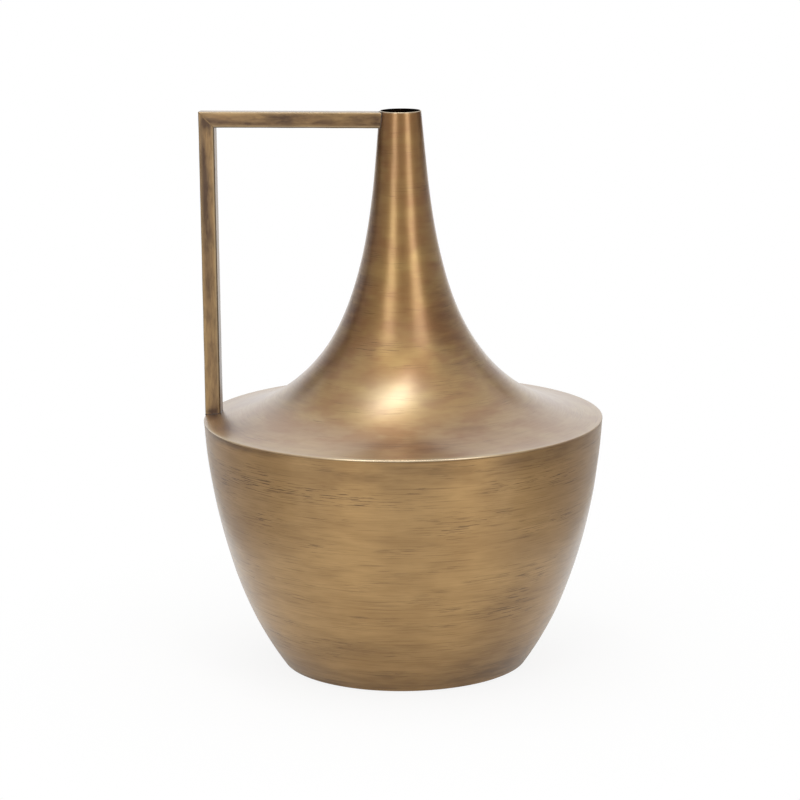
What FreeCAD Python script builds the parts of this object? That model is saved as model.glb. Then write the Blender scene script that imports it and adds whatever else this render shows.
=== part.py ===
import FreeCAD, Part
import math
import os

from FreeCAD import Placement, Rotation, Vector

# Urn vase of spun brass sheet with a handle of square brass tube.
# Sizes are in millimetres and angles in degrees. +Z is up, and the origin is the middle of the
# base on the table. The handle stands on the side of -X and is turned a little to the back, +Y.

# Body
body_height = 453.0
rim_height = 203.5
rim_radius = 162.8
base_radius = 100.6
mouth_radius = 16.8
neck_length = 128.0
sheet = 1.4

# Bowl outline as shares of the way from base to rim, outwards and up, and its runs at both ends
bowl_foot_run_shares = (1, 0.433)
bowl_top_run_shares = (1, 5.83)
bowl_outline_shares = [
    (0, 0),
    (0.32, 0.161),
    (0.568, 0.336),
    (0.862, 0.663),
    (1, 1),
]

# Shoulder and neck outline as shares of the way from rim to mouth, inwards and up, and its runs
shoulder_rim_run_shares = (1, 0.038)
neck_mouth_run_shares = (1, 6.08)
flare_outline_shares = [
    (0, 0),
    (0.28, 0.037),
    (0.53, 0.126),
    (0.72, 0.258),
    (0.851, 0.433),
    (0.92, 0.597),
    (0.961, 0.76),
    (1, 1),
]

# Joint under the rim: the bowl's flange, on which the shoulder lies, and the solder behind it
flange_width = 6.0
solder_size = 1.5
seam_braze_height = 1.0

# Worn and finished edges of the sheet
base_edge_radius = 1.2
rim_edge_radius = 0.6
crease_edge_radius = 0.8
mouth_edge_radius = 0.4

# Handle of square tube
tube_width = 12.7
tube_wall = 1.5
tube_corner_radius = 1.2
handle_turn = 7.0
handle_offset = 4.0
leg_inset = 0.3
arm_drop = 0.7
weld_size = 1.0
mitre_weld_width = 0.8

# Felt pads under the base
pad_height = 1.2
pad_radius = 9.0
pad_inset = 12.0
pad_count = 4

# Running past a face in cuts, the steps in which an outline is moved sideways, and how often it
# is halved to find where it ends
overrun = 3.0
offset_steps = 40
end_halvings = 60

# Levels, from the table
base_level = pad_height
floor_level = base_level + sheet
rim_level = base_level + rim_height
mouth_level = base_level + body_height
seam_level = mouth_level - neck_length
arm_top_level = mouth_level - arm_drop

# Turns
full_turn = 360
half_turn = full_turn / 2
quarter_turn = full_turn / 4
mitre_turn = full_turn / 8

origin = Vector(0, 0, 0)
y_axis = Vector(0, 1, 0)
z_axis = Vector(0, 0, 1)


def outline(start, end, shares, start_run_shares, end_run_shares):
    """Smooth outline from start to end, which runs on a little past both."""
    def along_way(reach, rise):
        return Vector((end.x - start.x) * reach, 0, (end.z - start.z) * rise)
    points = [start + along_way(reach, rise) for reach, rise in shares]
    start_run = along_way(*start_run_shares).normalize()
    end_run = along_way(*end_run_shares).normalize()
    points = [start - start_run * overrun] + points + [end + end_run * overrun]
    curve = Part.BSplineCurve()
    curve.interpolate(Points=points, InitialTangent=start_run, FinalTangent=end_run)
    return curve


def moved_in(curve, distance):
    """The outline moved towards the inside of the vase, or outwards when the distance is negative."""
    first, last = curve.FirstParameter, curve.LastParameter
    points = []
    for step in range(offset_steps + 1):
        place = first + (last - first) * step / offset_steps
        along = curve.tangent(place)[0]
        points.append(curve.value(place) + Vector(-along.z, 0, along.x) * distance)
    moved = Part.BSplineCurve()
    moved.interpolate(points)
    return moved


def under(curve):
    """Half section of everything from the axis out to the outline, down to the bottom of the base."""
    start, end = curve.StartPoint, curve.EndPoint
    corners = [end, Vector(0, 0, end.z), Vector(0, 0, min(start.z, base_level))]
    if start.z > base_level:
        corners.append(Vector(start.x, 0, base_level))
    corners.append(start)
    return Part.Face(Part.Wire([curve.toShape()] + Part.makePolygon(corners).Edges))


def stretch(curve, inner, outer, bottom, top):
    """The stretch of the flare's outline that lies between two radii and two levels."""
    def begun(point):
        return point.x <= outer and point.z >= bottom

    def over(point):
        return point.x < inner or point.z > top

    def turning_place(passed):
        before, after = curve.FirstParameter, curve.LastParameter
        for halving in range(end_halvings):
            middle = (before + after) / 2
            if passed(curve.value(middle)):
                after = middle
            else:
                before = middle
        return after
    part = curve.copy()
    part.segment(turning_place(begun), turning_place(over))
    return part


def between(inner, outer):
    """Half section of the layer between two outlines that run side by side."""
    ends = [
        Part.makeLine(outer.EndPoint, inner.EndPoint),
        Part.makeLine(inner.StartPoint, outer.StartPoint),
    ]
    return Part.Face(Part.Wire([outer.toShape(), ends[0], inner.toShape(), ends[1]]))


def band(inner, outer, bottom, top):
    """Half section of a ring or a disc between two radii and two levels."""
    corners = [Vector(radius, 0, level) for radius, level in (
        (inner, bottom), (outer, bottom), (outer, top), (inner, top), (inner, bottom),
    )]
    return Part.Face(Part.makePolygon(corners))


def within(reach, top):
    """Half section of all that lies within a radius and below a level, run past axis and base."""
    return band(-overrun, reach, base_level - overrun, top)


def spun(section):
    """The solid that the half section makes when it turns about the axis."""
    return section.Faces[0].revolve(origin, z_axis, full_turn)


def round_edge(solid, radius, level, rounding):
    """Rounds the circular edge that lies nearest to this radius and level."""
    def miss(edge):
        point = edge.Vertexes[0].Point
        return math.hypot(math.hypot(point.x, point.y) - radius, point.z - level)
    circles = [edge for edge in solid.Edges if edge.isClosed()]
    return solid.makeFillet(rounding, [min(circles, key=miss)])


bowl_outline = outline(
    Vector(base_radius, 0, base_level),
    Vector(rim_radius, 0, rim_level),
    bowl_outline_shares,
    bowl_foot_run_shares,
    bowl_top_run_shares,
)
flare_outline = outline(
    Vector(rim_radius, 0, rim_level),
    Vector(mouth_radius, 0, mouth_level),
    flare_outline_shares,
    shoulder_rim_run_shares,
    neck_mouth_run_shares,
)
flare_inside = moved_in(flare_outline, sheet)
under_shoulder = under(flare_inside)
under_flange = under(moved_in(flare_outline, sheet + sheet))
whole_flare = spun(under(stretch(flare_outline, 0, rim_radius, base_level, mouth_level)))
flange_radius = rim_radius - sheet - flange_width


def make_bowl():
    """Spun bowl: flat bottom, swelling wall, and a flange turned in under the shoulder."""
    outside = under(bowl_outline).common(within(rim_radius, mouth_level))
    inside = under(moved_in(bowl_outline, sheet)).common(under_flange)
    hollow = inside.cut(within(rim_radius, floor_level))
    flange_hole = band(-overrun, flange_radius, rim_level - sheet - overrun, mouth_level)
    bowl = spun(outside.common(under_shoulder).cut(hollow).cut(flange_hole))
    bowl = round_edge(bowl, base_radius, base_level, base_edge_radius)
    return round_edge(bowl, rim_radius, rim_level - sheet, crease_edge_radius)


def sheet_of_flare(bottom, top):
    """Half section of the shoulder's and neck's sheet between two levels."""
    inside, outside = [
        stretch(curve, 0, rim_radius, bottom, top) for curve in (flare_inside, flare_outline)
    ]
    return between(inside, outside)


def make_shoulder():
    """Spun flare from the rim up to the seam with the neck."""
    low_enough = rim_level - sheet - overrun
    shoulder = spun(sheet_of_flare(low_enough, seam_level - seam_braze_height / 2))
    return round_edge(shoulder, rim_radius, rim_level, rim_edge_radius)


def make_neck():
    """Cone from the seam up to the mouth, its lip eased inside and outside."""
    neck = spun(sheet_of_flare(seam_level + seam_braze_height / 2, mouth_level))
    neck = round_edge(neck, mouth_radius, mouth_level, mouth_edge_radius)
    return round_edge(neck, mouth_radius - sheet, mouth_level, mouth_edge_radius)


def make_neck_braze():
    """Brazing metal that fills the seam between shoulder and neck."""
    half = seam_braze_height / 2
    return spun(sheet_of_flare(seam_level - half, seam_level + half))


def make_rim_solder():
    """Ring of solder in the corner between the flange's inner edge and the shoulder."""
    bottom, top = [
        stretch(curve, flange_radius - solder_size, flange_radius, base_level, mouth_level)
        for curve in (moved_in(flare_outline, sheet + solder_size), flare_inside)
    ]
    return spun(between(bottom, top))


def square_bar(width, corner, length):
    """Upright square bar with rounded arrises, its middle on the axis."""
    bar = Part.makeBox(width, width, length, Vector(-width / 2, -width / 2, 0))
    arrises = [edge for edge in bar.Edges if edge.Vertexes[0].Z != edge.Vertexes[1].Z]
    return bar.makeFillet(corner, arrises)


def square_tube(length):
    """Upright square tube."""
    bore = tube_width - tube_wall - tube_wall
    inside = Part.makeBox(bore, bore, length, Vector(-bore / 2, -bore / 2, 0))
    return square_bar(tube_width, tube_corner_radius, length).cut(inside)


# In the handle's own plane, X runs out along the arm and Y to the front
handle_reach = rim_radius - leg_inset
leg_middle = handle_reach - tube_width / 2
leg_length = arm_top_level - rim_level + overrun
along_arm = Placement(
    Vector(0, handle_offset, arm_top_level - tube_width / 2), Rotation(y_axis, quarter_turn)
)
up_leg = Placement(Vector(leg_middle, handle_offset, rim_level - overrun), Rotation())
side_of_vase = Placement(origin, Rotation(z_axis, half_turn - handle_turn))


def on_vase(piece, place):
    """The piece put in its place in the handle's plane, and the plane turned to its side."""
    placed = piece.copy()
    placed.Placement = side_of_vase.multiply(place)
    return placed


def mitre_block(low, high):
    """Everything between two distances from the mitre plane, positive on the arm's side."""
    size = leg_length + handle_reach + leg_length
    block = Part.makeBox(size, size, high - low, Vector(-size / 2, -size / 2, low))
    corner = Vector(handle_reach, handle_offset, arm_top_level)
    return on_vase(block, Placement(corner, Rotation(y_axis, -mitre_turn)))


def make_arm_tube():
    """The arm's tube up to the mitre plane, coped to the neck."""
    tube = on_vase(square_tube(handle_reach), along_arm)
    return tube.cut(whole_flare).common(mitre_block(0, handle_reach))


def make_leg_tube():
    """The leg's tube up to the mitre plane, cut to the slope of the shoulder."""
    tube = on_vase(square_tube(leg_length), up_leg)
    return tube.cut(whole_flare).common(mitre_block(-leg_length, 0))


def make_corner_weld(arm_tube, leg_tube):
    """Weld metal between the mitred ends, dressed flush with the tubes."""
    half = mitre_weld_width / 2
    arm_half = arm_tube.common(mitre_block(0, half))
    leg_half = leg_tube.common(mitre_block(-half, 0))
    return arm_half.fuse(leg_half).removeSplitter()


def make_weld(length, place):
    """Bead around the end of a tube, where it meets the outside of the vase."""
    width = tube_width + weld_size + weld_size
    collar = square_bar(width, tube_corner_radius + weld_size, length)
    collar = collar.cut(square_bar(tube_width, tube_corner_radius, length))
    top = moved_in(flare_outline, -weld_size)
    top = stretch(top, 0, rim_radius - rim_edge_radius, base_level, mouth_level)
    return on_vase(collar, place).common(spun(under(top))).cut(whole_flare)


def make_pad(number):
    """One round felt pad under the bottom of the bowl."""
    circle = base_radius - pad_inset - pad_radius
    angle = math.radians(full_turn * (number + 1 / 2) / pad_count)
    middle = Vector(circle * math.cos(angle), circle * math.sin(angle), 0)
    return Part.makeCylinder(pad_radius, pad_height, middle)


arm_tube = make_arm_tube()
leg_tube = make_leg_tube()
half_weld = mitre_weld_width / 2
pieces = {
    "bowl": make_bowl(),
    "shoulder": make_shoulder(),
    "neck": make_neck(),
    "rim_solder": make_rim_solder(),
    "neck_braze": make_neck_braze(),
    "handle_arm": arm_tube.cut(mitre_block(-half_weld, half_weld)),
    "handle_leg": leg_tube.cut(mitre_block(-half_weld, half_weld)),
    "corner_weld": make_corner_weld(arm_tube, leg_tube),
    "arm_weld": make_weld(handle_reach, along_arm),
    "leg_weld": make_weld(leg_length, up_leg),
}
for number in range(pad_count):
    pieces["foot_pad_%d" % (number + 1)] = make_pad(number)

os.makedirs("parts", exist_ok=True)
for name, piece in pieces.items():
    piece = piece.Solids[0]
    piece.exportStep("parts/%s.step" % name)
    box = piece.BoundBox
    print("%-12s solids %d, valid %s, volume %.0f, X %.1f to %.1f, Y %.1f to %.1f, Z %.1f to %.1f" % (
        name, len(piece.Solids), piece.isValid(), piece.Volume,
        box.XMin, box.XMax, box.YMin, box.YMax, box.ZMin, box.ZMax,
    ))
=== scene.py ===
import math

import bpy
import numpy as np
from mathutils import Matrix, Vector, noise


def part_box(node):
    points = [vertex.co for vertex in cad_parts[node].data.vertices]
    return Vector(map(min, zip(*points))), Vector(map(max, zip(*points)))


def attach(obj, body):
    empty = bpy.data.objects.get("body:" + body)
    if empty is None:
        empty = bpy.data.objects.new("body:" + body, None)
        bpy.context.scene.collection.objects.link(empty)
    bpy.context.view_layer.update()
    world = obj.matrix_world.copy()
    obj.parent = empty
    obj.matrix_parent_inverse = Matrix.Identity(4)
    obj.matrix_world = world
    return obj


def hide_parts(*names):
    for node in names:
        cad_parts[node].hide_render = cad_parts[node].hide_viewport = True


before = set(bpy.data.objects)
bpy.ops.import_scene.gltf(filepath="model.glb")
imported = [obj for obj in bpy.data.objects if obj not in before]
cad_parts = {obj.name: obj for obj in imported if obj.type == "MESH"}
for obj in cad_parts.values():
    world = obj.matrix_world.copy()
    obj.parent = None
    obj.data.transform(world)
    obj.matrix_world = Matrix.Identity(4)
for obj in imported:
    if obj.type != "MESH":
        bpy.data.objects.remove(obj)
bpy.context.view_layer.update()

# Urn vase of spun and brushed brass, antiqued, with an angular handle of square brass tube.
# The vase's sizes are in millimetres and become metres in its meshes. The studio is in metres.
mm = 0.001

# Sizes of the body, from the table up
base_level = 1.2
body_height = 453.0
rim_height = 203.5
rim_radius = 162.8
base_radius = 100.6
mouth_radius = 16.8
neck_length = 128.0
sheet = 1.4
flange_width = 6.0
seam_height = 1.0
rim_level = base_level + rim_height
mouth_level = base_level + body_height
seam_level = mouth_level - neck_length
overrun = 3.0

# Outlines as shares of the way from end to end, and the runs at both ends
bowl_outline_shares = [(0, 0), (0.32, 0.161), (0.568, 0.336), (0.862, 0.663), (1, 1)]
bowl_run_shares = ((1, 0.433), (1, 5.83))
flare_outline_shares = [
    (0, 0), (0.28, 0.037), (0.53, 0.126), (0.72, 0.258),
    (0.851, 0.433), (0.92, 0.597), (0.961, 0.76), (1, 1),
]
flare_run_shares = ((1, 0.038), (1, 6.08))

# Edges of the sheet
base_edge_radius = 1.2
rim_edge_radius = 0.6
rim_lower_edge_radius = 0.25
crease_radius = 0.8
mouth_edge_radius = 0.5

# Handle
tube_width = 12.7
tube_corner_radius = 1.2
handle_turn = 7.0
handle_offset = 4.0
leg_inset = 0.3
arm_drop = 0.7
mitre_weld_width = 0.8
arm_top_level = mouth_level - arm_drop
handle_reach = rim_radius - leg_inset
mitre_gap = mitre_weld_width / 2 * math.sqrt(2)
bead_radius = 0.55

# What handwork leaves: how deep its waves are in the sheet and the tube, and how proud a dressed
# seam stays. A hair's gap keeps faces that touch from fighting for the same place.
bowl_wave_depth = 0.28
shoulder_wave_depth = 0.25
neck_wave_depth = 0.12
tube_wobble = 0.10
seam_proud = 0.02
hair = 0.02

# Satin lacquer, sprayed over all of the brass but its inside
lacquer_roughness = 0.26

# How finely the pieces are drawn
slices = 384
section_step = 1.5
outline_points_per_step = 4
edge_arc_steps = 7
flange_points = 6
tube_face_steps = 8
tube_arris_steps = 6
arm_steps = 60
leg_steps = 90
bead_step = 0.7
bead_sides = 10
sharp_edge_degrees = 32


def linear(colour):
    """Linear red, green, blue and alpha of an sRGB hex colour."""
    parts = [int(colour[place:place + 2], 16) / 255 for place in (1, 3, 5)]
    return tuple(
        part / 12.92 if part <= 0.04045 else ((part + 0.055) / 1.055) ** 2.4 for part in parts
    ) + (1.0,)


def add(tree, kind, inputs=None, **settings):
    """Adds a node with its settings; an input is a number, a colour, a node or an output."""
    made = tree.nodes.new(kind)
    for name, value in settings.items():
        setattr(made, name, value)
    used = [socket for socket in made.inputs if socket.enabled]
    for key, value in (inputs or {}).items():
        if isinstance(key, int):
            socket = used[key]
        else:
            socket = next(one for one in used if one.name == key)
        if isinstance(value, bpy.types.Node):
            value = next(output for output in value.outputs if output.enabled)
        if isinstance(value, bpy.types.NodeSocket):
            tree.links.new(value, socket)
        else:
            socket.default_value = value
    return made


# Shapes


def outline(start, end, shares, run_shares):
    """Smooth line of radius and level through the shares, run on a little past both ends."""
    start, end = np.array(start), np.array(end)
    way = end - start
    runs = [np.array(share) * way for share in run_shares]
    runs = [run / np.linalg.norm(run) for run in runs]
    points = [start + np.array(share) * way for share in shares]
    points = np.array([start - runs[0] * overrun] + points + [end + runs[1] * overrun])
    steps = np.linalg.norm(np.diff(points, axis=0), axis=1)
    # Slopes at the points that make the bend continuous
    count = len(points)
    matrix = np.zeros((count, count))
    wanted = np.zeros((count, 2))
    matrix[0, 0] = matrix[-1, -1] = 1
    wanted[0], wanted[-1] = runs
    for k in range(1, count - 1):
        before, after = steps[k - 1], steps[k]
        matrix[k, k - 1:k + 2] = after, 2 * (before + after), before
        wanted[k] = 3 * (after * (points[k] - points[k - 1]) / before
                         + before * (points[k + 1] - points[k]) / after)
    slopes = np.linalg.solve(matrix, wanted)
    fine = []
    for k in range(count - 1):
        length = steps[k]
        parts = max(2, int(length / section_step * outline_points_per_step))
        for t in np.linspace(0, 1, parts, endpoint=False):
            fine.append(
                (2 * t ** 3 - 3 * t ** 2 + 1) * points[k]
                + (t ** 3 - 2 * t ** 2 + t) * length * slopes[k]
                + (3 * t ** 2 - 2 * t ** 3) * points[k + 1]
                + (t ** 3 - t ** 2) * length * slopes[k + 1]
            )
    fine.append(points[-1])
    return np.array(fine)


def moved_in(line, distance):
    """The line moved towards the inside of the vase."""
    along = np.gradient(line, axis=0)
    along /= np.linalg.norm(along, axis=1)[:, None]
    return line + np.stack([-along[:, 1], along[:, 0]], axis=1) * distance


def level_at(line, radius):
    """Level of a line at a radius."""
    order = np.argsort(line[:, 0])
    return float(np.interp(radius, line[order, 0], line[order, 1]))


def radius_at(line, level):
    """Radius of a line at a level."""
    order = np.argsort(line[:, 1])
    return float(np.interp(level, line[order, 1], line[order, 0]))


def part_of(line, low, high):
    """Points of the line between two levels, both ends included."""
    clear = 0.01
    keep = line[(line[:, 1] > low + clear) & (line[:, 1] < high - clear)]
    ends = [(radius_at(line, low), low), (radius_at(line, high), high)]
    return [ends[0]] + [tuple(point) for point in keep] + [ends[1]]


def rounded(section, corner, radius):
    """Replaces a corner point of the section by an arc."""
    corners = [section[(corner + k) % len(section)] for k in (-1, 0, 1)]
    before, at, after = np.array(corners, dtype=float)
    to_before = (before - at) / np.linalg.norm(before - at)
    to_after = (after - at) / np.linalg.norm(after - at)
    half = math.acos(float(np.clip(np.dot(to_before, to_after), -1, 1))) / 2
    reach = radius / math.tan(half)
    inward = (to_before + to_after) / np.linalg.norm(to_before + to_after)
    middle = at + inward * radius / math.sin(half)
    first, last = at + to_before * reach - middle, at + to_after * reach - middle
    turn = math.atan2(first[0] * last[1] - first[1] * last[0], float(np.dot(first, last)))
    arc = []
    for k in range(edge_arc_steps + 1):
        angle = turn * k / edge_arc_steps
        arc.append((
            middle[0] + first[0] * math.cos(angle) - first[1] * math.sin(angle),
            middle[1] + first[0] * math.sin(angle) + first[1] * math.cos(angle),
        ))
    return section[:corner] + arc + section[corner + 1:]


def spaced(section):
    """The section with no two neighbours further apart than a step, and near doubles left out."""
    double = 1e-4
    made = []
    for k, point in enumerate(section):
        point = np.array(point, dtype=float)
        following = np.array(section[(k + 1) % len(section)], dtype=float)
        length = float(np.linalg.norm(following - point))
        if length < double:
            continue
        count = max(1, math.ceil(length / section_step))
        for step in range(count):
            made.append(tuple(point + (following - point) * step / count))
    return made


def piece(name, vertices, faces, stands_for):
    """A smooth mesh that rides on the vase and stands for these nodes."""
    mesh = bpy.data.meshes.new(name)
    mesh.from_pydata([tuple(v) for v in vertices], [], faces)
    mesh.validate()
    for polygon in mesh.polygons:
        polygon.use_smooth = True
    mesh.set_sharp_from_angle(angle=math.radians(sharp_edge_degrees))
    made = bpy.data.objects.new(name, mesh)
    bpy.context.scene.collection.objects.link(made)
    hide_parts(*stands_for)
    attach(made, "root")
    return made


def paint(made, name, values):
    """Keeps a number for each vertex, which the materials read."""
    attribute = made.data.attributes.new(name, "FLOAT", "POINT")
    attribute.data.foreach_set("value", np.asarray(values, dtype=np.float32))


# Waves in spun sheet: how many go round, the height of one, its turn and its share of the depth.
# The wall is moved inwards by half the depth, so that most of it stays inside its line.
spinning_waves = [
    (2, 210.0, 0.3, 0.30), (3, 130.0, 1.9, 0.25), (5, 74.0, 4.2, 0.18),
    (8, 47.0, 2.6, 0.12), (1, 61.0, 5.1, 0.08), (13, 33.0, 0.9, 0.07),
]
inward_share = 0.5


def turned(name, section, stands_for, depth):
    """Turns a closed section about the axis, with the waves that spinning leaves."""
    section = spaced(section)
    angles = np.arange(slices) * 2 * math.pi / slices
    rings = []
    vertices = []
    for radius, level in section:
        # A point on the axis stays single
        if radius < 1e-6:
            rings.append([len(vertices)])
            vertices.append((0.0, 0.0, level * mm))
            continue
        wave = sum(
            share * np.sin(count * angles + 2 * math.pi * level / height + start)
            for count, height, start, share in spinning_waves
        )
        out = (radius + depth * (wave - inward_share)) * mm
        rings.append(list(range(len(vertices), len(vertices) + slices)))
        places = zip((out * np.cos(angles)).tolist(), (out * np.sin(angles)).tolist())
        vertices += [(x, y, level * mm) for x, y in places]
    faces = []
    for number, ring in enumerate(rings):
        following = rings[(number + 1) % len(rings)]
        if len(ring) == 1 and len(following) == 1:
            continue
        for k in range(slices):
            n = (k + 1) % slices
            if len(ring) == 1:
                faces.append((ring[0], following[n], following[k]))
            elif len(following) == 1:
                faces.append((ring[k], ring[n], following[0]))
            else:
                faces.append((ring[k], ring[n], following[n], following[k]))
    return piece(name, vertices, faces, stands_for)


bowl_line = outline(
    (base_radius, base_level), (rim_radius, rim_level), bowl_outline_shares, bowl_run_shares,
)
flare_line = outline(
    (rim_radius, rim_level), (mouth_radius, mouth_level), flare_outline_shares, flare_run_shares,
)
bowl_inside_line = moved_in(bowl_line, sheet)
flare_inside_line = moved_in(flare_line, sheet)
flange_inside_line = moved_in(flare_line, sheet + sheet)


def shoulder_section():
    """Sheet of the shoulder, its edge at the rim rounded over."""
    above_rim = 0.05
    top = seam_level - seam_height / 2
    outside = [(rim_radius, rim_level)] + part_of(flare_line, rim_level + above_rim, top)[1:]
    low = level_at(flare_inside_line, rim_radius - hair)
    inside = part_of(flare_inside_line, low, top)[1:]
    section = [(rim_radius, low)] + outside + list(reversed(inside))
    section = rounded(section, 1, rim_edge_radius)
    return rounded(section, 0, rim_lower_edge_radius)


def neck_section():
    """Sheet of the neck, its lip eased inside and outside."""
    low = seam_level + seam_height / 2
    outside = part_of(flare_line, low, mouth_level)
    inside = list(reversed(part_of(flare_inside_line, low, mouth_level)))
    section = outside + inside
    section = rounded(section, len(outside), mouth_edge_radius)
    return rounded(section, len(outside) - 1, mouth_edge_radius)


def seam_section():
    """The dressed seam between shoulder and neck, a hair proud of the sheet."""
    low, high = seam_level - seam_height / 2, seam_level + seam_height / 2
    outside = [(radius + seam_proud, level) for radius, level in part_of(flare_line, low, high)]
    return outside + list(reversed(part_of(flare_inside_line, low, high)))


def bowl_section():
    """Flat bottom, swelling wall, and the flange turned in under the shoulder.

    The flange's top starts clear of the crease, and its underside folds into the wall lower down.
    """
    crease_clear, fold_depth, fold_clear = 1.0, 3.0, 0.4
    crease_level = level_at(flare_inside_line, rim_radius)
    crease = radius_at(bowl_line, crease_level)
    flange_radius = rim_radius - sheet - flange_width
    outside = [(0, base_level)] + part_of(bowl_line, base_level, crease_level)
    corner = len(outside) - 1
    flange_top = [
        (radius, level_at(flare_inside_line, radius) - hair)
        for radius in np.linspace(crease - crease_clear, flange_radius, flange_points)
    ]
    fold = radius_at(bowl_inside_line, rim_level - fold_depth)
    flange_under = [
        (radius, level_at(flange_inside_line, radius))
        for radius in np.linspace(flange_radius, fold, flange_points)
    ]
    inside_top = flange_under[-1][1] - fold_clear
    inside = list(reversed(part_of(bowl_inside_line, base_level + sheet, inside_top)))
    section = outside + flange_top + flange_under + inside + [(0, base_level + sheet)]
    section = rounded(section, corner, crease_radius)
    return rounded(section, 1, base_edge_radius)


bowl = turned("bowl_sheet", bowl_section(), ["bowl"], bowl_wave_depth)
shoulder = turned(
    "shoulder_sheet", shoulder_section(), ["shoulder"], shoulder_wave_depth,
)
neck = turned("neck_sheet", neck_section(), ["neck"], neck_wave_depth)
seam = turned("neck_seam", seam_section(), ["neck_braze"], neck_wave_depth)


def beside(x, y, z):
    """Puts a place in the handle's own plane, out, to the front and up, beside the vase."""
    angle = math.radians(180 - handle_turn)
    return (
        (x * math.cos(angle) - y * math.sin(angle)) * mm,
        (x * math.sin(angle) + y * math.cos(angle)) * mm,
        z * mm,
    )


def square_ring():
    """Places round a square tube with rounded arrises, and how near each lies to an arris."""
    half = tube_width / 2 - tube_corner_radius
    face = half + tube_corner_radius
    on_arris = 1.3
    ring = []
    for quarter in range(4):
        angle = math.radians(90 * quarter)
        cos, sin = math.cos(angle), math.sin(angle)
        along_face = np.linspace(-half, half, tube_face_steps + 1)[:-1]
        side = [(face, y, abs(y) / half) for y in along_face]
        arc = [(
            half + tube_corner_radius * math.cos(a),
            half + tube_corner_radius * math.sin(a),
            on_arris,
        ) for a in np.radians(np.linspace(0, 90, tube_arris_steps + 1)[:-1])]
        for x, y, near in side + arc:
            ring.append((x * cos - y * sin, x * sin + y * cos, near))
    return ring


def tube(name, steps, place, stands_for):
    """Square tube whose rings are placed by share of its length, drawn a little unevenly."""
    # Waves in the tube for each mm along it and across it
    per_length, per_width = 0.05, 0.2
    ring = square_ring()
    vertices, faces, edges_near, lengths = [], [], [], []
    for step in range(steps + 1):
        for across, deep, near in ring:
            along, out, front, up = place(step / steps, across, deep)
            uneven = noise.noise(Vector((
                along * per_length, across * per_width, deep * per_width + len(name),
            )))
            scale = 1 + tube_wobble * uneven / (tube_width / 2)
            along, out, front, up = place(step / steps, across * scale, deep * scale)
            vertices.append(beside(out, front, up))
            edges_near.append(near)
            lengths.append(along)
    count = len(ring)
    for step in range(steps):
        for k in range(count):
            n = (k + 1) % count
            a, b = step * count, (step + 1) * count
            faces.append((a + k, a + n, b + n, b + k))
    faces.append(tuple(reversed(range(count))))
    faces.append(tuple(range(steps * count, (steps + 1) * count)))
    made = piece(name, vertices, faces, stands_for)
    uv = made.data.uv_layers.new(name="brushing")
    around = np.cumsum([0] + [
        math.dist(ring[k][:2], ring[(k + 1) % count][:2]) for k in range(count)
    ])
    for loop in made.data.loops:
        uv.data[loop.index].uv = (lengths[loop.vertex_index], around[loop.vertex_index % count])
    paint(made, "near_edge", edges_near)
    # The two arrises on the inner side of the handle, where shade is painted: 1 in the middle of
    # each and 0 by the flats
    arris_reach = 1.15
    inner = [
        max(0.0, 1 - abs(abs(across) - abs(deep)) / arris_reach) * (across < 0)
        for across, deep, near in ring
    ]
    paint(made, "inner_arris_shade", inner * (steps + 1))
    return made


arm_middle_level = arm_top_level - tube_width / 2
leg_middle = handle_reach - tube_width / 2


def arm_place(share, across, deep):
    """From the neck's outside to the mitre; across is up and deep is to the front."""
    up, front = arm_middle_level + across, handle_offset + deep
    radius = radius_at(flare_line, up)
    start = math.sqrt(radius ** 2 - front ** 2)
    end = handle_reach - (arm_top_level - up) - mitre_gap
    return start + (end - start) * share, start + (end - start) * share, front, up


def leg_place(share, across, deep):
    """From the shoulder up to the mitre; across is out and deep is to the front."""
    out, front = leg_middle + across, handle_offset + deep
    start = level_at(flare_line, math.hypot(out, front))
    end = arm_top_level - (handle_reach - out) - mitre_gap
    return start + (end - start) * share, out, front, start + (end - start) * share


arm = tube("handle_arm_tube", arm_steps, arm_place, ["handle_arm"])
leg = tube("handle_leg_tube", leg_steps, leg_place, ["handle_leg"])


def bead(name, place, stands_for):
    """Lumpy bead of weld metal round the end of a tube, a little in from the tube's faces."""
    inset = 0.97
    lump_share, lumps_per_metre = 0.3, 420
    ripple_share, ripple_turn = 0.12, 1.1
    nearly_upright = 0.3
    line = [
        Vector(beside(*place(0, across * inset, deep * inset)[1:]))
        for across, deep, near in square_ring()
    ]
    path = []
    for k, point in enumerate(line):
        following = line[(k + 1) % len(line)]
        count = max(1, round((following - point).length / (bead_step * mm)))
        path += [point.lerp(following, step / count) for step in range(count)]
    vertices, faces = [], []
    count = len(path)
    for k, point in enumerate(path):
        along = (path[(k + 1) % count] - path[k - 1]).normalized()
        side = along.cross(Vector((0, 0, 1)))
        if side.length < nearly_upright:
            side = along.cross(Vector((1, 0, 0)))
        side.normalize()
        up = side.cross(along)
        # Lumps, and the even ripple of a hand that feeds the rod
        lumps = lump_share * noise.noise(point * lumps_per_metre)
        ripple = ripple_share * math.sin(k * ripple_turn)
        size = bead_radius * (1 + lumps + ripple) * mm
        for step in range(bead_sides):
            angle = 2 * math.pi * step / bead_sides
            out, rise = math.cos(angle), math.sin(angle)
            vertices.append(tuple(point + side * out * size + up * rise * size))
    for k in range(count):
        a, b = k * bead_sides, ((k + 1) % count) * bead_sides
        for step in range(bead_sides):
            n = (step + 1) % bead_sides
            faces.append((a + step, b + step, b + n, a + n))
    return piece(name, vertices, faces, stands_for)


arm_bead = bead("arm_weld_bead", arm_place, ["arm_weld"])
leg_bead = bead("leg_weld_bead", leg_place, ["leg_weld"])


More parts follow.
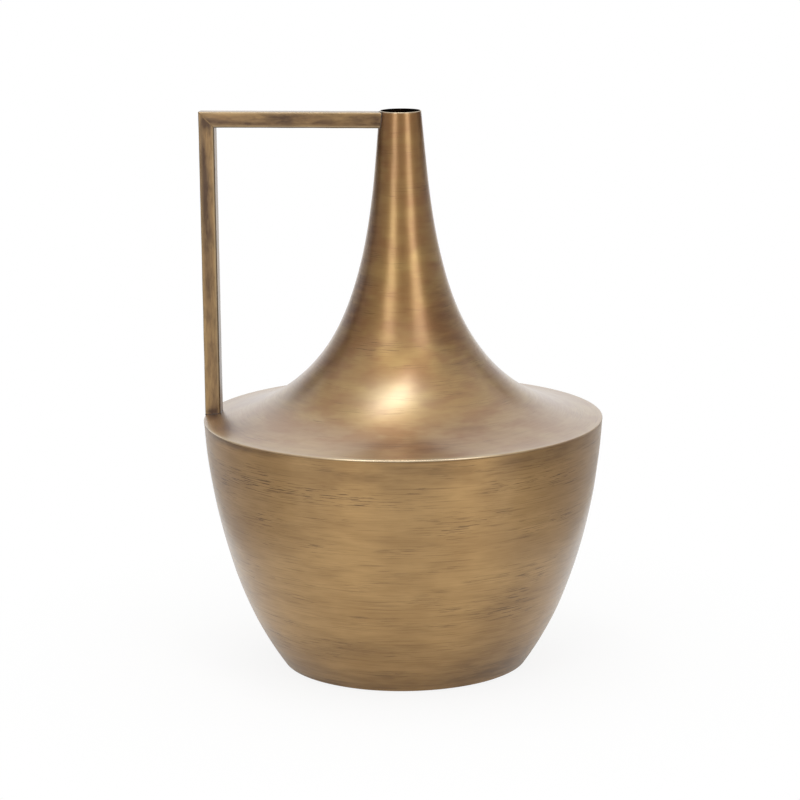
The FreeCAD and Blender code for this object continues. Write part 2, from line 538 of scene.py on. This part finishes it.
def felt_disc(name, node):
    """Round felt pad, soft at its edge, with a fuzzy rim."""
    low, high = [Vector(corner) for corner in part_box(node)]
    middle = (low + high) / 2 / mm
    radius, height = (high.x - low.x) / 2 / mm, (high.z - low.z) / mm
    flat_share, edge_share, fuzz_share = 0.94, 0.05, 0.02
    rings_across, edge_steps, around = 14, 8, 72
    tufts_around, tufts_up = 9, 2
    profile = []
    for k in range(rings_across + 1):
        profile.append((radius * flat_share * k / rings_across, 0))
    for k in range(1, edge_steps):
        angle = math.pi * k / edge_steps
        out, rise = edge_share * radius * math.sin(angle), height / 2 * math.cos(angle)
        profile.append((radius * (1 - edge_share) + out, height / 2 - rise))
    for k in range(rings_across + 1):
        profile.append((radius * flat_share * (rings_across - k) / rings_across, height))
    vertices, faces, rings = [], [], []
    for distance, level in profile:
        if distance < 1e-6:
            rings.append([len(vertices)] * around)
            vertices.append((middle.x * mm, middle.y * mm, level * mm))
            continue
        ring = []
        for k in range(around):
            angle = 2 * math.pi * k / around
            cos, sin = math.cos(angle), math.sin(angle)
            tufts = noise.noise(Vector((cos * tufts_around, sin * tufts_around, level * tufts_up)))
            fuzz = 1 - fuzz_share * abs(tufts)
            ring.append(len(vertices))
            vertices.append((
                (middle.x + distance * fuzz * cos) * mm,
                (middle.y + distance * fuzz * sin) * mm,
                level * mm,
            ))
        rings.append(ring)
    for ring, following in zip(rings, rings[1:]):
        for k in range(around):
            n = (k + 1) % around
            face = [ring[k], ring[n], following[n], following[k]]
            faces.append(tuple(dict.fromkeys(face)))
    return piece(name, vertices, faces, [node])


pads = [felt_disc("felt_disc_%d" % number, "foot_pad_%d" % number) for number in (1, 2, 3, 4)]

# Patches of antiquing


def in_mm(items, kind):
    """The places of a mesh's points or faces, as three rows in mm."""
    places = np.empty(len(items) * 3)
    items.foreach_get(kind, places)
    return places.reshape(-1, 3).T / mm


def patches(made, name, soft_patches):
    """Paints soft patches on a turned piece, each placed by degrees from the front and mm up."""
    x, y, level = in_mm(made.data.vertices, "co")
    azimuth = np.degrees(np.arctan2(x, -y))
    total = np.zeros(len(level))
    for at, height, wide, high, strength in soft_patches:
        off = (azimuth - at + 180) % 360 - 180
        total += strength * np.exp(-(off / wide) ** 2 - ((level - height) / high) ** 2)
    paint(made, name, total)


def handle_patches(made, name, soft_patches):
    """Paints soft patches on a tube, each placed by mm out from the vase's axis and mm up."""
    x, _, level = in_mm(made.data.vertices, "co")
    out = -x / math.cos(math.radians(handle_turn))
    total = np.zeros(len(level))
    for at, height, wide, high, strength in soft_patches:
        total += strength * np.exp(-((out - at) / wide) ** 2 - ((level - height) / high) ** 2)
    paint(made, name, total)


# Degrees from the front (positive to the right), mm up, half width in degrees, half height in mm
# and strength
# Brown on the bowl. The thin patches just under the rim are painted shade under its edge, and the
# ring round the foot and the low patch on the right are painted shade, darker towards the bottom;
# the rest is antiquing.
bowl_brown_and_painted_shade = [
    (8, 203.0, 12, 0.9, 0.8), (-68, 203.0, 14, 0.9, 0.8), (3, 196, 17, 8, 0.25),
    (-5, 190, 24, 9, 0.3), (-22, 42, 22, 9, 0.3), (40, 74, 13, 20, 0.35), (0, 6, 400, 14, 0.45),
    (40, 26, 26, 22, 0.55), (-55, 172, 14, 14, 0.2), (8, 60, 8, 5, 0.2), (23, 182, 9, 20, 0.25),
    (-16, 180, 9, 16, 0.2), (-52, 201.5, 22, 2.2, 0.8), (46, 199, 20, 7, 0.8),
    (70, 105, 14, 40, 0.45), (-72, 112, 13, 34, 0.3),
]
bowl_dashes = [
    (-45, 176, 24, 9, 1.0), (-14, 172, 16, 7, 0.7), (14, 150, 11, 11, 0.7), (44, 178, 16, 6, 0.9),
    (50, 140, 12, 8, 0.6), (38, 76, 10, 16, 0.8), (-50, 140, 14, 9, 0.6), (-22, 44, 22, 7, 0.6),
    (150, 160, 40, 14, 0.8), (-130, 120, 30, 16, 0.7), (180, 70, 30, 14, 0.6),
    (100, 100, 20, 14, 0.6),
]
# Shoulder, neck and their seam take the same patches, so that these run on from one to the next
flare_patches = {
    # Brown: a little antiquing on the shoulder's front, and painted shade: darker bands down both
    # sides of the neck and flare, a dark spot beside the arm's end, and the leg's shadow on the
    # shoulder by its foot
    "brown": [
        (-71, 207, 8, 3, 0.7), (-108, 211, 16, 6, 0.35), (-75, 230, 18, 12, 0.5),
        (2, 209, 18, 3.5, 0.5), (25, 216, 14, 5, 0.3), (120, 250, 30, 30, 0.3),
        (-78, 445, 16, 9, 0.7), (-40, 420, 24, 22, 0.3), (62, 400, 24, 60, 0.35),
        (-60, 350, 26, 90, 0.5), (-72, 295, 26, 36, 0.4), (46, 285, 26, 50, 0.6),
    ],
    "dashes_here": [
        (-10, 437, 16, 2, 1.0), (-8, 389, 14, 2, 1.0), (-50, 341, 16, 3, 1.0),
        (-8, 345, 12, 3, 0.8), (60, 300, 20, 14, 0.5), (-30, 270, 20, 12, 0.5),
        (160, 330, 40, 30, 0.5), (40, 250, 16, 8, 0.4),
    ],
    # Painted highlights, with some rubbing along the edges: a line along the rim and round the
    # mouth, a hot spot on the front of the shoulder and a lighter spot by the handle's foot
    "rubbed_and_highlight": [
        (-5, 238, 17, 11, 0.45), (0, 204.4, 20, 0.45, 1.2), (-68, 204.4, 14, 0.45, 1.0),
        (0, 204.4, 500, 0.45, 0.3), (0, 454.0, 400, 0.5, 0.7), (-72, 226, 12, 9, 0.2),
    ],
    # A pale rosy tint low on the shoulder: partly its own tone, partly a painted sheen of the
    # lacquer
    "blush_and_sheen": [(0, 211, 400, 11, 0.6), (-30, 217, 22, 8, 0.25), (50, 218, 22, 10, 0.35)],
}
# Mm out, mm up, half width and half height in mm, strength
# Brown smudges on the handle; the long patch by the leg's inner arris near its foot is painted
# shade where the leg meets the shoulder
handle_brown_and_painted_shade = [
    (80, 451.8, 32, 3, 0.75), (30, 450, 16, 4, 0.4), (120, 443.5, 60, 3.5, 0.65),
    (163, 445, 12, 7, 0.45), (97, 447, 10, 4, 0.5), (30, 443, 28, 3, 0.5),
    (70, 445, 70, 8, 0.25), (19, 447, 3.5, 20, 0.5), (159.6, 388, 3.4, 30, 1.0),
    (159, 335, 3.4, 45, 0.5), (151.2, 250, 3.6, 60, 0.65), (161.5, 420, 3.0, 28, 0.7),
    (156, 300, 20, 140, 0.15), (156, 207, 30, 2.6, 1.0),
]

patches(bowl, "brown", bowl_brown_and_painted_shade)
patches(bowl, "dashes_here", bowl_dashes)
for made in (shoulder, neck, seam):
    for name, soft_patches in flare_patches.items():
        patches(made, name, soft_patches)
for made in (arm, leg):
    handle_patches(made, "brown", handle_brown_and_painted_shade)

# Finishes


def new_material(name):
    """An empty node material."""
    material = bpy.data.materials.new(name)
    material.use_nodes = True
    material.node_tree.nodes.clear()
    return material


def by_pattern(tree, pattern, low, high):
    """Colour that goes from one shade to another with a pattern, over the middle of its range."""
    share = add(tree, "ShaderNodeMapRange", {
        "Value": pattern, "From Min": 0.35, "From Max": 0.65,
    })
    return add(tree, "ShaderNodeMix", {
        "Factor": share, "A": linear(low), "B": linear(high),
    }, data_type="RGBA")


def in_layers(tree, bare, marks, layers):
    """Colour of bare brass with layers over it: mark, from and to, most that shows, colour."""
    colour = linear(bare)
    for mark, low, high, most, shade in layers:
        share = add(tree, "ShaderNodeMapRange", {
            "Value": marks[mark], "From Min": low, "From Max": high, "To Max": most,
        })
        colour = add(tree, "ShaderNodeMix", {
            "Factor": share, "A": colour, "B": linear(shade),
        }, data_type="RGBA")
    return colour


# Marks in the brushed sheet: length round the vase and width across the strokes in mm, start,
# detail. 120 grit leaves strokes and scratches 0.1 mm wide, too fine to show here, so they are
# drawn 1.1 and 1.2 mm wide. The dashes are as wide as the real ones.
sheet_marks = {
    "strokes": (30, 1.1, 0, 3),
    "scratches": (50, 1.2, 5, 2),
    "patches": (36, 9, 17, 3),
    "clouds": (60, 34, 11, 3),
    "mottle": (28, 22, 23, 2),
    "dashes": (20, 0.85, 31, 2),
    "dash ground": (46, 14, 41, 2),
}
painted_marks = ("brown", "dashes_here", "rubbed_and_highlight", "blush_and_sheen")
# What each sheet needs beside the marks of its own layers
sheet_needs = {"strokes", "patches", "dashes", "dash ground", "brown", "dashes_here"}
bowl_layers = [
    ("clouds", 0.40, 0.64, 0.48, "#96723F"),
    ("patches", 0.42, 0.66, 0.27, "#8C6A3A"),
    ("strokes", 0.44, 0.68, 0.17, "#77592F"),
    ("scratches", 0.60, 0.68, 0.36, "#644824"),
    # Brown patches: antiquing, and painted shade under the rim and towards the foot
    ("broken brown", 0.0, 1.0, 0.8, "#66471E"),
    ("gathered dashes", 0.0, 1.0, 0.85, "#452B13"),
]
flare_layers = [
    ("clouds", 0.40, 0.64, 0.55, "#93693F"),
    # Paler, pinker tone low on the shoulder, partly painted sheen
    ("blush_and_sheen", 0.0, 1.0, 0.75, "#A68A6E"),
    ("mottle", 0.42, 0.62, 0.42, "#8E5F38"),
    ("patches", 0.42, 0.66, 0.12, "#8A6540"),
    ("strokes", 0.44, 0.68, 0.06, "#77592F"),
    ("scratches", 0.62, 0.74, 0.12, "#6A4E2A"),
    # Brown patches: antiquing, and painted shade down the neck's sides, by the arm's end and by
    # the leg's foot
    ("broken brown", 0.0, 1.0, 0.8, "#633A20"),
    # Pale painted highlights, partly rubbing, at the rim, the mouth and the front of the shoulder
    ("rubbed_and_highlight", 0.0, 1.0, 0.8, "#EADDBE"),
    ("gathered dashes", 0.0, 1.0, 0.6, "#4A3522"),
]


def brushed_sheet(name, side, brass, layers, relief_mm, roughness_range, along_strokes):
    """Spun brass sheet, brushed round the axis, antiqued brown and lacquered satin.

    The brushing draws highlights out up and down the wall. The brown stays in the deeper strokes
    as short dark dashes that follow the turn. Its brown patches carry painted shade as well as
    antiquing, and its pale layer painted highlights. Side is 1 where the wall widens upwards, else
    -1.
    """
    material = new_material(name)
    tree = material.node_tree
    place = add(tree, "ShaderNodeTexCoord").outputs["Object"]
    level = add(tree, "ShaderNodeSeparateXYZ", {0: place}).outputs["Z"]
    turn = add(tree, "ShaderNodeVectorMath", {0: place, 1: (1, 1, 0)}, operation="MULTIPLY")
    radius = add(tree, "ShaderNodeVectorMath", {0: turn}, operation="LENGTH")
    up_the_wall = add(tree, "ShaderNodeMath", {
        0: radius, 1: float(side), 2: level,
    }, operation="MULTIPLY_ADD")
    up = add(tree, "ShaderNodeCombineXYZ", {"Z": up_the_wall})
    on_sheet = add(tree, "ShaderNodeVectorMath", {0: turn, 1: up}, operation="ADD")
    needed = sheet_needs | {layer[0] for layer in layers}
    marks = {}
    for mark, (length, width, start, detail) in sheet_marks.items():
        if mark in needed:
            scaled = add(tree, "ShaderNodeMapping", {
                "Vector": on_sheet,
                "Location": (start, 0, 0),
                "Scale": (1 / (length * mm), 1 / (length * mm), 1 / (width * mm)),
            })
            marks[mark] = add(tree, "ShaderNodeTexNoise", {
                "Vector": scaled, "Scale": 1.0, "Detail": detail, "Roughness": 0.55,
            })
    for mark in painted_marks:
        if mark in needed:
            marks[mark] = add(tree, "ShaderNodeAttribute", attribute_name=mark).outputs["Fac"]

    # The brown patches, antiquing and painted shade, break up into strokes at their edges
    broken = add(tree, "ShaderNodeMapRange", {
        "Value": marks["patches"], "From Min": 0.35, "From Max": 0.65,
        "To Min": 0.6, "To Max": 1.4,
    })
    marks["broken brown"] = add(tree, "ShaderNodeMath", {
        0: marks["brown"], 1: broken,
    }, operation="MULTIPLY")
    # Dashes lie close together in some places and hardly anywhere else
    ground = add(tree, "ShaderNodeMapRange", {
        "Value": marks["dash ground"], "From Min": 0.50, "From Max": 0.64, "To Max": 0.55,
    })
    gathered = add(tree, "ShaderNodeMath", {0: ground, 1: marks["dashes_here"]}, operation="ADD")
    dark = add(tree, "ShaderNodeMapRange", {
        "Value": marks["dashes"], "From Min": 0.57, "From Max": 0.61,
    })
    marks["gathered dashes"] = add(tree, "ShaderNodeMath", {
        0: dark, 1: gathered,
    }, operation="MULTIPLY", use_clamp=True)

    colour = in_layers(tree, brass, marks, layers)
    roughness = add(tree, "ShaderNodeMapRange", {
        "Value": marks["strokes"], "From Min": 0.3, "From Max": 0.7,
        "To Min": roughness_range[0], "To Max": roughness_range[1],
    })
    if "rubbed_and_highlight" in needed:
        # Where the pale mark of rubbing and painted highlight lies, the brass is smoother
        worn = add(tree, "ShaderNodeMapRange", {
            "Value": marks["rubbed_and_highlight"], "From Min": 0.5, "From Max": 1.0,
        })
        roughness = add(tree, "ShaderNodeMix", {
            "Factor": worn, "A": roughness, "B": 0.25,
        }, data_type="FLOAT")
    relief = add(tree, "ShaderNodeBump", {
        "Strength": 1.0, "Distance": relief_mm * mm, "Height": marks["strokes"],
    })
    tangent = add(tree, "ShaderNodeTangent", direction_type="RADIAL", axis="Z")
    shader = add(tree, "ShaderNodeBsdfPrincipled", {
        "Base Color": colour,
        "Metallic": 1.0,
        "Roughness": roughness,
        "Normal": relief,
        "Anisotropic": along_strokes,
        "Anisotropic Rotation": 0.25,
        "Tangent": tangent,
        "Coat Weight": 1.0,
        "Coat Roughness": lacquer_roughness,
    })
    add(tree, "ShaderNodeOutputMaterial", {"Surface": shader})
    return material


# Marks in the tube: length along it and width round it in mm, start, detail. Its strokes are
# 0.1 mm wide too, and are drawn 0.9 mm wide to show.
tube_marks = {
    "strokes": (18, 0.9, 0, 3),
    "clouds": (26, 9, 7, 3),
    "smudges": (20, 5.5, 19, 5),
}
tube_layers = [
    ("clouds", 0.38, 0.62, 0.7, "#8A6A42"),
    ("strokes", 0.40, 0.70, 0.4, "#6A4F2E"),
    ("smudges", 0.48, 0.66, 0.55, "#573C1E"),
    # Brown smudges, with painted shade low on the leg's inner side
    ("broken brown", 0.0, 1.0, 0.9, "#442A10"),
    # Painted highlights along the tube's arrises
    ("near_edge", 0.55, 1.05, 0.30, "#B89A68"),
    ("near_edge", 0.95, 1.25, 0.25, "#C2B08E"),
    # Painted shade, near black, along the two inner arrises
    ("inner_arris_shade", 0.0, 1.0, 0.95, "#21160C"),
]


def brushed_tube(name):
    """Drawn brass tube, brushed along its length, antiqued and lacquered.

    Brown clouds and smudges lie along it. Its arrises carry a painted highlight, and the two inner
    ones painted shade over it.
    """
    material = new_material(name)
    tree = material.node_tree
    place = add(tree, "ShaderNodeUVMap", uv_map="brushing")
    marks = {}
    for mark, (length, width, start, detail) in tube_marks.items():
        scaled = add(tree, "ShaderNodeMapping", {
            "Vector": place,
            "Location": (start, start, start),
            "Scale": (1 / length, 1 / width, 1),
        })
        marks[mark] = add(tree, "ShaderNodeTexNoise", {
            "Vector": scaled, "Scale": 1.0, "Detail": detail, "Roughness": 0.6,
        })
    for painted in ("near_edge", "inner_arris_shade", "brown"):
        marks[painted] = add(tree, "ShaderNodeAttribute", attribute_name=painted).outputs["Fac"]
    broken = add(tree, "ShaderNodeMapRange", {
        "Value": marks["smudges"], "From Min": 0.35, "From Max": 0.60,
        "To Min": 0.60, "To Max": 1.3,
    })
    marks["broken brown"] = add(tree, "ShaderNodeMath", {
        0: marks["brown"], 1: broken,
    }, operation="MULTIPLY")
    roughness = add(tree, "ShaderNodeMapRange", {
        "Value": marks["strokes"], "From Min": 0.3, "From Max": 0.7,
        "To Min": 0.36, "To Max": 0.48,
    })
    relief = add(tree, "ShaderNodeBump", {
        "Strength": 1.0, "Distance": 0.04 * mm, "Height": marks["strokes"],
    })
    shader = add(tree, "ShaderNodeBsdfPrincipled", {
        "Base Color": in_layers(tree, "#A48556", marks, tube_layers),
        "Metallic": 1.0,
        "Roughness": roughness,
        "Normal": relief,
        "Coat Weight": 1.0,
        "Coat Roughness": lacquer_roughness,
    })
    add(tree, "ShaderNodeOutputMaterial", {"Surface": shader})
    return material


def dull_inside(name):
    """Inside of the sheet, neither brushed nor lacquered: dull, and nearly black as painted shade
    of the vase's dark inside.
    """
    material = new_material(name)
    tree = material.node_tree
    place = add(tree, "ShaderNodeTexCoord").outputs["Object"]
    # Clouds 12 mm across in the painted dark
    scale = add(tree, "ShaderNodeTexNoise", {
        "Vector": place, "Scale": 1 / (12 * mm), "Detail": 4.0,
    })
    shader = add(tree, "ShaderNodeBsdfPrincipled", {
        "Base Color": by_pattern(tree, scale, "#110D0A", "#251B13"),
        "Metallic": 1.0,
        "Roughness": 0.7,
    })
    add(tree, "ShaderNodeOutputMaterial", {"Surface": shader})
    return material


def dressed_braze(name, low, high):
    """Brazing metal, dressed with a file and antiqued with the tube: small flats and hollows."""
    material = new_material(name)
    tree = material.node_tree
    place = add(tree, "ShaderNodeTexCoord").outputs["Object"]
    # Hollows 1.5 mm across, as a fine file leaves them
    hollows = add(tree, "ShaderNodeTexNoise", {
        "Vector": place, "Scale": 1 / (1.5 * mm), "Detail": 3.0,
    })
    roughness = add(tree, "ShaderNodeMapRange", {
        "Value": hollows, "From Min": 0.3, "From Max": 0.7, "To Min": 0.38, "To Max": 0.52,
    })
    relief = add(tree, "ShaderNodeBump", {
        "Strength": 1.0, "Distance": 0.05 * mm, "Height": hollows,
    })
    shader = add(tree, "ShaderNodeBsdfPrincipled", {
        "Base Color": by_pattern(tree, hollows, low, high),
        "Metallic": 1.0,
        "Roughness": roughness,
        "Normal": relief,
        "Coat Weight": 1.0,
        "Coat Roughness": lacquer_roughness,
    })
    add(tree, "ShaderNodeOutputMaterial", {"Surface": shader})
    return material


def soft_solder(name):
    """Soft solder as it set: dull grey, with a slightly rippled skin."""
    material = new_material(name)
    tree = material.node_tree
    place = add(tree, "ShaderNodeTexCoord").outputs["Object"]
    # Ripples 2 mm across
    ripples = add(tree, "ShaderNodeTexNoise", {
        "Vector": place, "Scale": 1 / (2.0 * mm), "Detail": 3.0,
    })
    roughness = add(tree, "ShaderNodeMapRange", {
        "Value": ripples, "From Min": 0.3, "From Max": 0.7, "To Min": 0.35, "To Max": 0.5,
    })
    relief = add(tree, "ShaderNodeBump", {
        "Strength": 1.0, "Distance": 0.08 * mm, "Height": ripples,
    })
    shader = add(tree, "ShaderNodeBsdfPrincipled", {
        "Base Color": by_pattern(tree, ripples, "#8D8C88", "#B5B4AE"),
        "Metallic": 1.0,
        "Roughness": roughness,
        "Normal": relief,
    })
    add(tree, "ShaderNodeOutputMaterial", {"Surface": shader})
    return material


def pressed_felt(name):
    """Pressed wool felt: dull, with fibres that catch light at the edge."""
    material = new_material(name)
    tree = material.node_tree
    place = add(tree, "ShaderNodeTexCoord").outputs["Object"]
    # Wool fibres are 0.03 mm thick; their tufts, 0.6 mm across, are what shows
    tufts = add(tree, "ShaderNodeTexNoise", {
        "Vector": place, "Scale": 1 / (0.6 * mm), "Detail": 4.0, "Roughness": 0.7,
    })
    relief = add(tree, "ShaderNodeBump", {
        "Strength": 1.0, "Distance": 0.15 * mm, "Height": tufts,
    })
    shader = add(tree, "ShaderNodeBsdfPrincipled", {
        "Base Color": by_pattern(tree, tufts, "#2A2622", "#4A443E"),
        "Roughness": 0.95,
        "Sheen Weight": 0.4,
        "Normal": relief,
    })
    add(tree, "ShaderNodeOutputMaterial", {"Surface": shader})
    return material


bowl_brass = brushed_sheet(
    "bowl_brass_brushed_antiqued", 1, "#B4905A", bowl_layers,
    relief_mm=0.007, roughness_range=(0.40, 0.48), along_strokes=0.7,
)
flare_brass = brushed_sheet(
    "flare_brass_brushed_antiqued", -1, "#AE8E55", flare_layers,
    relief_mm=0.003, roughness_range=(0.36, 0.42), along_strokes=0.5,
)
tube_brass = brushed_tube("tube_brass_brushed_antiqued")
corner_braze = dressed_braze("braze_dressed_flush", "#72562F", "#84683E")
foot_braze = dressed_braze("braze_antiqued_dark", "#2E2014", "#4A3520")
solder = soft_solder("soft_solder_as_set")
felt = pressed_felt("pressed_wool_felt")
inside = dull_inside("inside_brass_dull")


def dress(made, material):
    """Gives a piece this finish alone."""
    made.data.materials.clear()
    made.data.materials.append(material)


def dress_inside(made, line):
    """Gives the faces that lie inside this outline the dull finish."""
    into_sheet = 0.55
    made.data.materials.append(inside)
    x, y, z = in_mm(made.data.polygons, "center")
    order = np.argsort(line[:, 1])
    wall = np.minimum(np.interp(z, line[order, 1], line[order, 0]), rim_radius)
    # Past the middle of the sheet, and above the middle of the floor
    hidden = (np.hypot(x, y) < wall - sheet * into_sheet) & (z > base_level + sheet / 2)
    made.data.polygons.foreach_set("material_index", hidden.astype(np.int32))


dress(bowl, bowl_brass)
for made in (shoulder, neck, seam):
    dress(made, flare_brass)
dress_inside(bowl, bowl_line)
dress_inside(shoulder, flare_line)
dress_inside(neck, flare_line)
for made in (arm, leg):
    dress(made, tube_brass)
for made in (arm_bead, leg_bead):
    dress(made, foot_braze)
for made in pads:
    dress(made, felt)
for node, material in (("corner_weld", corner_braze), ("rim_solder", solder)):
    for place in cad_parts[node].material_slots:
        place.material = material

# Studio


def toward(azimuth, distance, height):
    """Place in the studio at an azimuth from the camera's side, positive to the right."""
    angle = math.radians(azimuth)
    return Vector((distance * math.sin(angle), -distance * math.cos(angle), height))


def soft_box(name, place, width, tall, radiance, aim, turn):
    """Rectangular soft box that shines towards a place, turned about the way it shines."""
    lamp = bpy.data.lights.new(name, "AREA")
    lamp.shape = "RECTANGLE"
    lamp.size, lamp.size_y = width, tall
    lamp.energy = radiance * math.pi * width * tall
    made = bpy.data.objects.new(name, lamp)
    made.location = place
    aimed = (Vector(aim) - place).to_track_quat("-Z", "Y").to_matrix()
    made.rotation_euler = (aimed @ Matrix.Rotation(math.radians(turn), 3, "Z")).to_euler()
    bpy.context.scene.collection.objects.link(made)


# Two upright strips in front, left and right, one soft box overhead and a faint one behind
strip_distance, strip_height, strip_length = 2.2, 1.15, 2.1
for name, azimuth, width, radiance in (
    ("left_strip", -29, 0.76, 2.1),
    ("right_strip", 37, 0.84, 2.3),
):
    place = toward(azimuth, strip_distance, strip_height)
    soft_box(name, place, width, strip_length, radiance, aim=(0, 0, 0.4), turn=0)
soft_box(
    "top_box", Vector((-0.09, -0.25, 2.3)), width=1.60, tall=0.38, radiance=4.4,
    aim=(-0.09, -0.25, 0), turn=-60,
)
soft_box(
    "back_box", Vector((-0.62, 1.6, 1.75)), width=1.1, tall=1.1, radiance=0.15,
    aim=(0, 0, 0.3), turn=0,
)


def stage_piece(name, vertices, faces, material):
    """A plain surface of the studio."""
    mesh = bpy.data.meshes.new(name)
    mesh.from_pydata(vertices, [], faces)
    made = bpy.data.objects.new(name, mesh)
    bpy.context.scene.collection.objects.link(made)
    dress(made, material)
    return made


def white_paper():
    """White paper sweep: it keeps the vase's shadow, and reads as white beyond it."""
    # Metres from the axis where the shadow is deepest, and where it ends for the metal and the eye
    foot, end_in_metal, end_in_view = 0.12, 0.50, 0.40
    material = new_material("white_paper")
    tree = material.node_tree
    path = add(tree, "ShaderNodeLightPath").outputs
    place = add(tree, "ShaderNodeTexCoord").outputs["Object"]
    distance = add(tree, "ShaderNodeVectorMath", {0: place}, operation="LENGTH")
    # In the metal, the vase's own shadow shows round its foot
    beyond = add(tree, "ShaderNodeMapRange", {
        "Value": distance, "From Min": foot, "From Max": end_in_metal,
        "To Min": 0.10, "To Max": 0.88,
    })
    bounced = add(tree, "ShaderNodeMath", {
        0: path["Is Glossy Ray"], 1: path["Is Transmission Ray"],
    }, operation="MAXIMUM")
    bounced = add(tree, "ShaderNodeMath", {0: bounced, 1: beyond}, operation="MULTIPLY")
    whiter = add(tree, "ShaderNodeMapRange", {
        "Value": distance, "From Min": foot, "From Max": end_in_view,
        "To Min": 0.86, "To Max": 1.0,
    })
    seen = add(tree, "ShaderNodeMath", {0: path["Is Camera Ray"], 1: whiter}, operation="MULTIPLY")
    share = add(tree, "ShaderNodeMath", {0: seen, 1: bounced}, operation="MAXIMUM")
    paper = add(tree, "ShaderNodeBsdfDiffuse", {"Color": linear("#F2F2F1")})
    light = add(tree, "ShaderNodeEmission", {"Color": linear("#FFFFFF"), "Strength": 1.0})
    both = add(tree, "ShaderNodeMixShader", {0: share, 1: paper, 2: light})
    add(tree, "ShaderNodeOutputMaterial", {"Surface": both})
    return material


def matt_paint(name, colour):
    """Matt emulsion paint on board, one even shade without gloss."""
    material = new_material(name)
    tree = material.node_tree
    coat = add(tree, "ShaderNodeBsdfDiffuse", {"Color": linear(colour)})
    add(tree, "ShaderNodeOutputMaterial", {"Surface": coat})
    return material


def curved_wall(first, last, top):
    """Corners and faces of a wall that curves round from one azimuth to another."""
    steps = 24
    vertices, faces = [], []
    for k in range(steps + 1):
        for height in (0.0, top):
            azimuth = first + (last - first) * k / steps
            vertices.append(tuple(toward(azimuth, wall_distance, height)))
    for k in range(steps):
        faces.append((2 * k, 2 * k + 2, 2 * k + 3, 2 * k + 1))
    return vertices, faces


def card(x, top):
    """Corners and face of a card that stands beside the vase."""
    front, back = -0.22, 0.6
    return [(x, front, 0), (x, back, 0), (x, back, top), (x, front, top)], [(0, 1, 2, 3)]


# How far from the vase the walls stand and the floor goes
wall_distance, reach = 3.2, 8
floor_corners = [(-reach, -reach, 0), (reach, -reach, 0), (reach, reach, 0), (-reach, reach, 0)]
stage_piece("floor", floor_corners, [(0, 1, 2, 3)], white_paper())
# The walls and the cards are seen only in the metal, where they draw its edges darker
for name, (vertices, faces), paint_name, shade in (
    ("front_wall", curved_wall(-105, 105, 2.6), "grey_matt_emulsion", "#C2B5AC"),
    ("left_wall", curved_wall(-152, -105, 2.0), "dark_brown_matt_emulsion", "#4C362A"),
    ("right_wall", curved_wall(105, 152, 2.0), "brown_matt_emulsion", "#5E483C"),
    ("left_card", card(-0.31, 0.38), "white_matt_emulsion", "#E2E0DF"),
    ("right_card", card(0.31, 0.41), "pale_grey_matt_emulsion", "#D9D6D3"),
):
    made = stage_piece(name, vertices, faces, matt_paint(paint_name, shade))
    made.visible_camera = False
    made.visible_diffuse = False
    made.visible_shadow = False


def white_surroundings():
    """White all round for the camera and the metal, and a plain level for everything else."""
    world = bpy.data.worlds.new("white_surroundings")
    world.use_nodes = True
    tree = world.node_tree
    tree.nodes.clear()
    path = add(tree, "ShaderNodeLightPath").outputs
    seen = path["Is Camera Ray"]
    for ray in ("Is Glossy Ray", "Is Transmission Ray"):
        seen = add(tree, "ShaderNodeMath", {0: seen, 1: path[ray]}, operation="MAXIMUM")
    plain = add(tree, "ShaderNodeBackground", {"Color": linear("#FFFFFF"), "Strength": 0.80})
    white = add(tree, "ShaderNodeBackground", {"Color": linear("#FFFFFF"), "Strength": 1.0})
    both = add(tree, "ShaderNodeMixShader", {0: seen, 1: plain, 2: white})
    add(tree, "ShaderNodeOutputWorld", {"Surface": both})
    bpy.context.scene.world = world


white_surroundings()


def camera():
    """Camera as the photograph was taken, from a little above and 2.2 m away."""
    made = bpy.data.objects.new("camera", bpy.data.cameras.new("camera"))
    made.data.lens = 124.44
    made.data.sensor_width = 36
    place = (-0.00244, -2.21095, 0.68452)
    pitch, roll = math.radians(11.925), math.radians(0.546)
    right = Vector((1, 0, 0))
    up = Vector((0, math.sin(pitch), math.cos(pitch)))
    back = Vector((0, -math.cos(pitch), math.sin(pitch)))
    turned_right = right * math.cos(roll) - up * math.sin(roll)
    turned_up = right * math.sin(roll) + up * math.cos(roll)
    axes = Matrix((turned_right, turned_up, back)).transposed()
    made.matrix_world = Matrix.Translation(place) @ axes.to_4x4()
    bpy.context.scene.collection.objects.link(made)
    bpy.context.scene.camera = made


camera()
bpy.context.scene.view_settings.view_transform = "Standard"
